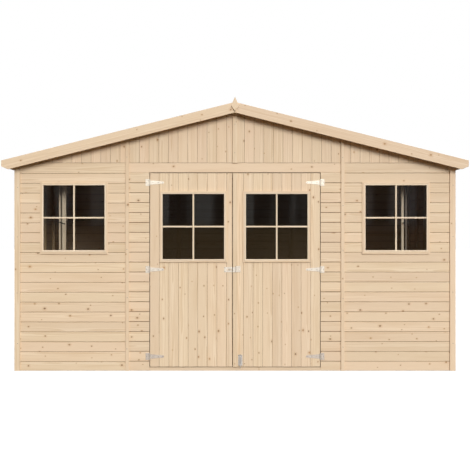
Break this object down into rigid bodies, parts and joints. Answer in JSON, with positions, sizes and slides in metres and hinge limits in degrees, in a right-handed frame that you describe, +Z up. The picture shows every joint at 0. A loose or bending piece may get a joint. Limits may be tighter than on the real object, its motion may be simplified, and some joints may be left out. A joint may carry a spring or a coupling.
{
  "type": "wooden garden shed",
  "caption": "Low-gabled garden shed of pale tongue-and-groove boards with a double door on strap hinges, front windows, barge boards and a bare board roof.",
  "frame": {"origin": "on the floor at the middle of the plan, under the middle of the ridge", "axes": "+Z up, the doors and windows face -Y, +X to the right when facing them"},
  "size_m": [4.108, 3.212, 2.419],
  "materials": {
    "wall_wood": "planed, bare",
    "trim_wood": "planed, bare",
    "door_wood": "planed, bare",
    "frame_wood": "planed, bare",
    "floor_wood": "planed, bare",
    "roof_wood": "planed, bare",
    "glass": "clear, dark behind",
    "galvanized_steel": "zinc plated"
  },
  "bodies": {
    "shed": {"front_wall_left": "wall_wood", "front_wall_right": "wall_wood", "door_side_panels": "wall_wood", "door_header": "wall_wood", "front_gable": "wall_wood", "back_wall": "wall_wood", "back_gable": "wall_wood", "left_wall": "wall_wood", "right_wall": "wall_wood", "wall_battens": "trim_wood", "corner_trims": "trim_wood", "wall_studs": "frame_wood", "wall_plates": "frame_wood", "window_rails": "frame_wood", "gable_rafters": "frame_wood", "floor_boards": "floor_wood", "floor_bearers": "floor_wood", "door_sill": "floor_wood", "roof_left": "roof_wood", "roof_right": "roof_wood", "ridge_beam": "frame_wood", "purlins": "frame_wood", "purlin_posts": "frame_wood", "front_barge_boards": "roof_wood", "back_barge_boards": "roof_wood", "eave_boards": "roof_wood", "ridge_finials": "trim_wood", "window_casings": "trim_wood", "window_glass": "glass", "wall_hinge_plates": "galvanized_steel"},
    "left_door": {"left_door": "door_wood", "left_door_ledges": "frame_wood", "left_door_casing": "trim_wood", "left_door_glass": "glass", "left_hinge_straps": "galvanized_steel", "hasp_plate": "galvanized_steel"},
    "right_door": {"right_door": "door_wood", "right_door_ledges": "frame_wood", "right_door_casing": "trim_wood", "right_door_glass": "glass", "right_hinge_straps": "galvanized_steel", "door_cover_strip": "trim_wood", "hasp_hinge": "galvanized_steel", "bolt_plate": "galvanized_steel"},
    "bolt": {"bolt_rod": "galvanized_steel"}
  },
  "joints": [
    {"name": "left_door_hinge", "type": "hinge", "parent": "shed", "child": "left_door", "pos_m": [-0.7575, -1.476, 0.899], "axis": [0, 0, -1], "range_deg": [0, 160]},
    {"name": "right_door_hinge", "type": "hinge", "parent": "shed", "child": "right_door", "pos_m": [0.7575, -1.476, 0.899], "axis": [0, 0, 1], "range_deg": [0, 160]},
    {"name": "bolt_slide", "type": "slide", "parent": "right_door", "child": "bolt", "axis": [0, 0, 1], "range_m": [-0.014, 0.022]}
  ]
}
